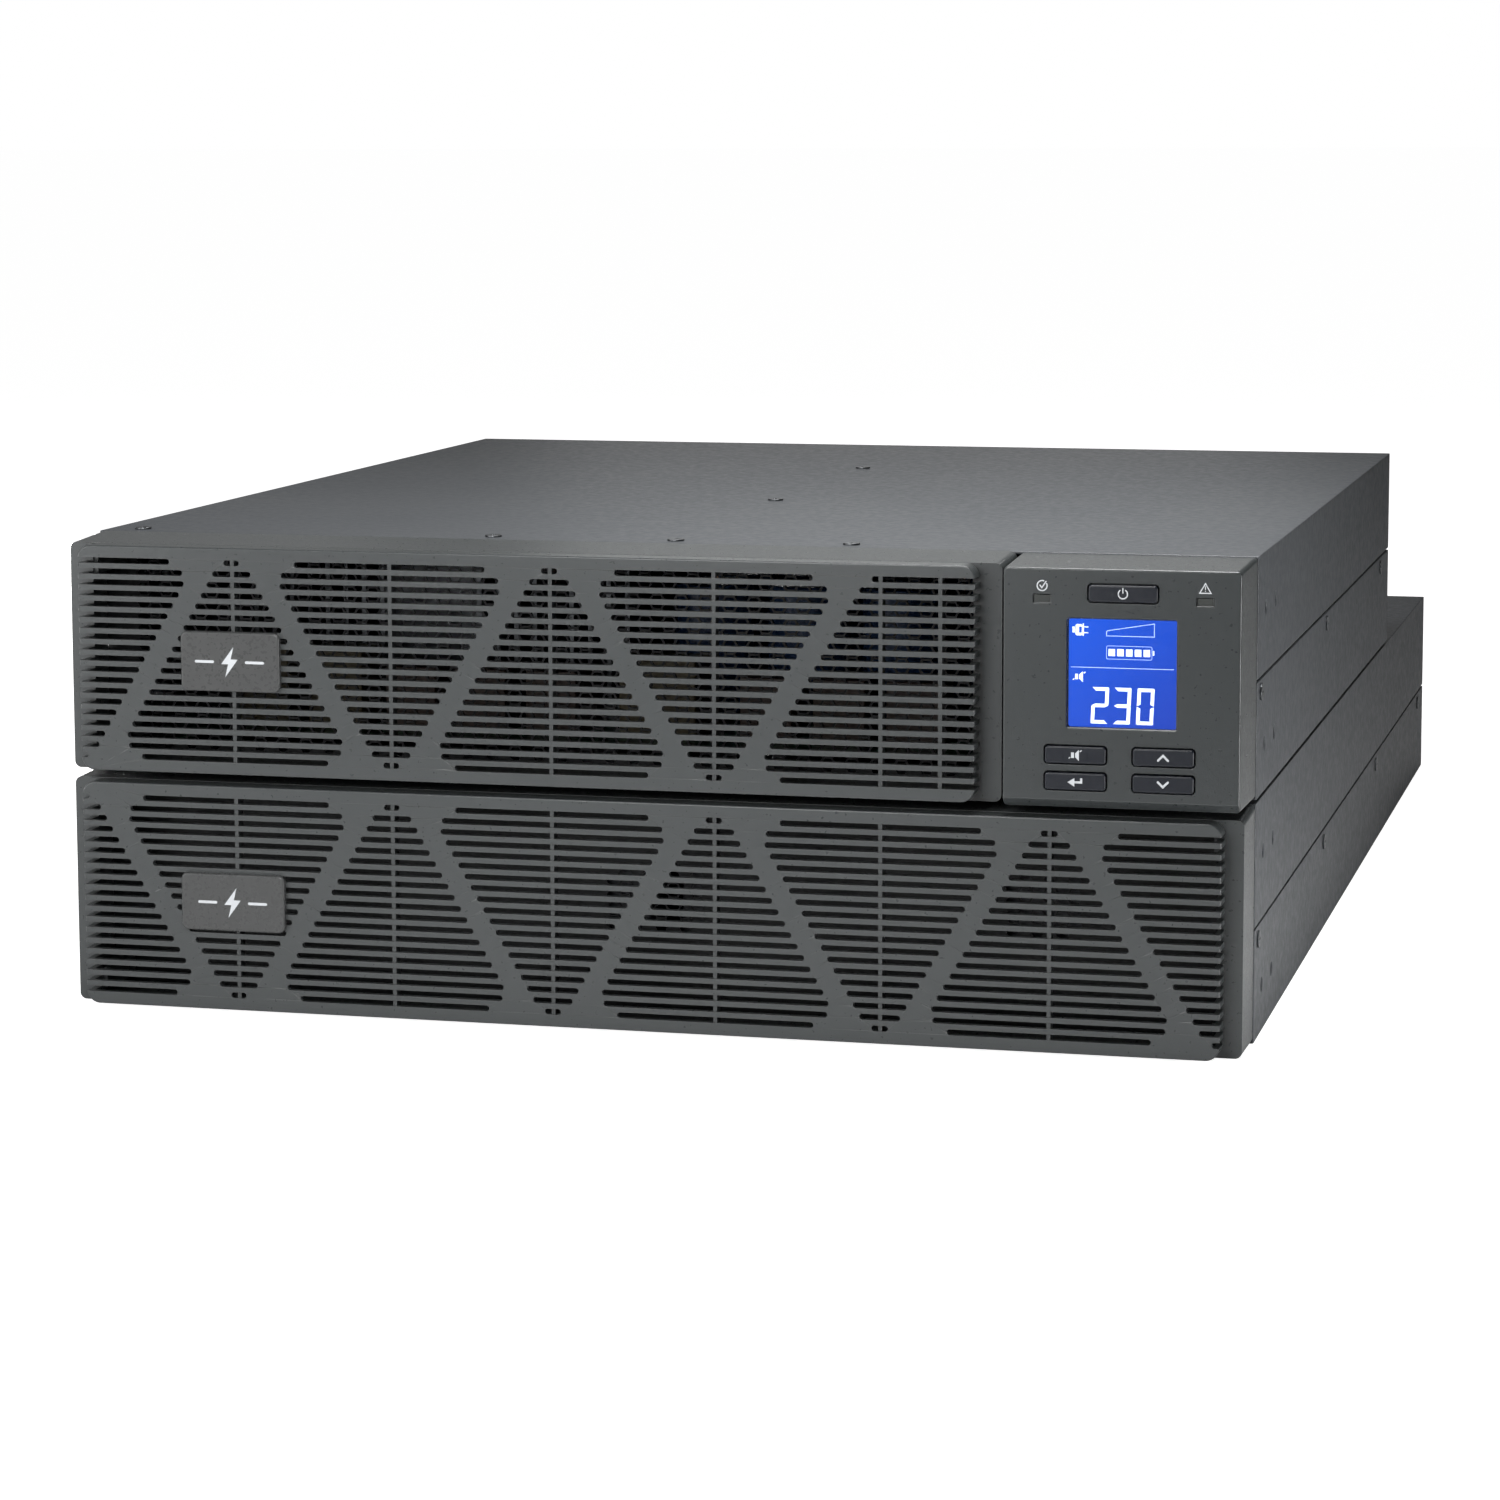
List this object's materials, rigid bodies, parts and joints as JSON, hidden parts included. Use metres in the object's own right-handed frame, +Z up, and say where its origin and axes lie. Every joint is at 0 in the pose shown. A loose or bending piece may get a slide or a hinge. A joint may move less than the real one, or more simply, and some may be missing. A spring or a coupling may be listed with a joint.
{
  "type": "rackmount ups",
  "caption": "Rack-mount double-conversion UPS power module stacked on its external battery pack, with triangle-louvred pull-off bezels and a pull-out blue-screen display.",
  "frame": {"origin": "on the surface the lower case stands on, under the middle of the whole stack", "axes": "+X to the right seen from the front, +Y to the back along the depth, +Z up; the louvred fronts face -Y"},
  "size_m": [0.4394, 0.718, 0.1755],
  "materials": {
    "front_plastic": "fine-textured moulded plastic",
    "case_paint": "fine-textured powder coat",
    "panel_paint": "satin black paint on steel",
    "badge_plastic": "satin",
    "key_plastic": "smooth moulded",
    "window_clear": "clear",
    "screen_blue": "backlit",
    "light_grey": "frosted",
    "circuit_board": "solder resist",
    "heatsink_alu": "extruded",
    "capacitor_sleeve": "shrink sleeve",
    "choke_winding": "enamelled copper",
    "relay_case": "moulded",
    "film_yellow": "moulded",
    "fan_plastic": "moulded",
    "guard_wire": "plated wire",
    "breaker_body": "moulded",
    "breaker_lever": "moulded",
    "socket_grey": "moulded",
    "port_metal": "nickel plated",
    "terminal_black": "moulded",
    "zinc_steel": "zinc plated",
    "battery_case": "moulded",
    "strap_brass": "bare",
    "screw_dark": "black zinc",
    "pad_rubber": "plain"
  },
  "bodies": {
    "chassis": {"batteries_left": "battery_case", "batteries_right": "battery_case", "battery_straps": "strap_brass", "battery_tray_left": "zinc_steel", "battery_tray_right": "zinc_steel", "capacitors": "capacitor_sleeve", "card_slot_cover": "case_paint", "card_thumbscrews": "guard_wire", "chokes": "choke_winding", "comms_ports": "port_metal", "control_board": "circuit_board", "dc_breaker": "breaker_body", "fan_frame_left": "fan_plastic", "fan_frame_right": "fan_plastic", "fan_guards": "guard_wire", "filter_parts": "film_yellow", "heatsinks": "heatsink_alu", "input_breaker": "breaker_body", "main_board": "circuit_board", "pack_battery_sockets": "socket_grey", "pack_cover": "case_paint", "pack_front_panel": "panel_paint", "pack_fuse_board": "circuit_board", "pack_link_ports": "port_metal", "pack_rear_panel": "case_paint", "pack_rear_screws": "screw_dark", "pack_side_screws": "screw_dark", "pack_tray": "case_paint", "relays": "relay_case", "stacking_pads": "pad_rubber", "terminal_block": "terminal_black", "terminal_cover": "case_paint", "ups_battery_socket": "socket_grey", "ups_cover": "case_paint", "ups_front_panel": "panel_paint", "ups_rear_panel": "case_paint", "ups_rear_screws": "screw_dark", "ups_side_screws": "screw_dark", "ups_top_screws": "screw_dark", "ups_tray": "case_paint"},
    "ups_bezel": {"ups_bezel": "front_plastic", "ups_badge": "badge_plastic"},
    "pack_bezel": {"pack_bezel": "front_plastic", "pack_badge": "badge_plastic"},
    "display_module": {"display_housing": "front_plastic", "display_back": "front_plastic", "display_window": "window_clear", "lcd_panel": "screen_blue", "display_board": "circuit_board", "online_light": "light_grey", "fault_light": "light_grey"},
    "fan_rotor_left": {"fan_rotor_left": "fan_plastic"},
    "fan_rotor_right": {"fan_rotor_right": "fan_plastic"},
    "input_toggle": {"input_breaker_toggle": "breaker_lever"},
    "dc_toggle": {"dc_breaker_toggle": "breaker_lever"},
    "power_button": {"power_button": "key_plastic"},
    "mute_button": {"mute_button": "key_plastic"},
    "enter_button": {"enter_button": "key_plastic"},
    "up_button": {"up_button": "key_plastic"},
    "down_button": {"down_button": "key_plastic"}
  },
  "joints": [
    {"name": "ups_bezel_pull", "type": "slide", "parent": "chassis", "child": "ups_bezel", "axis": [0, -1, 0], "range_m": [0, 0.03]},
    {"name": "pack_bezel_pull", "type": "slide", "parent": "chassis", "child": "pack_bezel", "axis": [0, -1, 0], "range_m": [0, 0.03]},
    {"name": "display_pull", "type": "slide", "parent": "chassis", "child": "display_module", "axis": [0, -1, 0], "range_m": [0, 0.03]},
    {"name": "power_press", "type": "slide", "parent": "display_module", "child": "power_button", "axis": [0, 1, 0], "range_m": [0, 0.001], "stiffness_N_per_m": 600, "springref_m": -0.001},
    {"name": "mute_press", "type": "slide", "parent": "display_module", "child": "mute_button", "axis": [0, 1, 0], "range_m": [0, 0.001], "stiffness_N_per_m": 600, "springref_m": -0.001},
    {"name": "enter_press", "type": "slide", "parent": "display_module", "child": "enter_button", "axis": [0, 1, 0], "range_m": [0, 0.001], "stiffness_N_per_m": 600, "springref_m": -0.001},
    {"name": "up_press", "type": "slide", "parent": "display_module", "child": "up_button", "axis": [0, 1, 0], "range_m": [0, 0.001], "stiffness_N_per_m": 600, "springref_m": -0.001},
    {"name": "down_press", "type": "slide", "parent": "display_module", "child": "down_button", "axis": [0, 1, 0], "range_m": [0, 0.001], "stiffness_N_per_m": 600, "springref_m": -0.001},
    {"name": "fan_left_spin", "type": "hinge", "parent": "chassis", "child": "fan_rotor_left", "pos_m": [-0.164, 0.14, 0.1314], "axis": [0, 1, 0], "continuous": true},
    {"name": "fan_right_spin", "type": "hinge", "parent": "chassis", "child": "fan_rotor_right", "pos_m": [-0.078, 0.14, 0.1314], "axis": [0, 1, 0], "continuous": true},
    {"name": "input_toggle_throw", "type": "hinge", "parent": "chassis", "child": "input_toggle", "pos_m": [0.02, 0.148, 0.151], "axis": [1, 0, 0], "range_deg": [-50, 0]},
    {"name": "dc_toggle_throw", "type": "hinge", "parent": "chassis", "child": "dc_toggle", "pos_m": [-0.12, 0.341, 0.0434], "axis": [1, 0, 0], "range_deg": [-50, 0]}
  ]
}
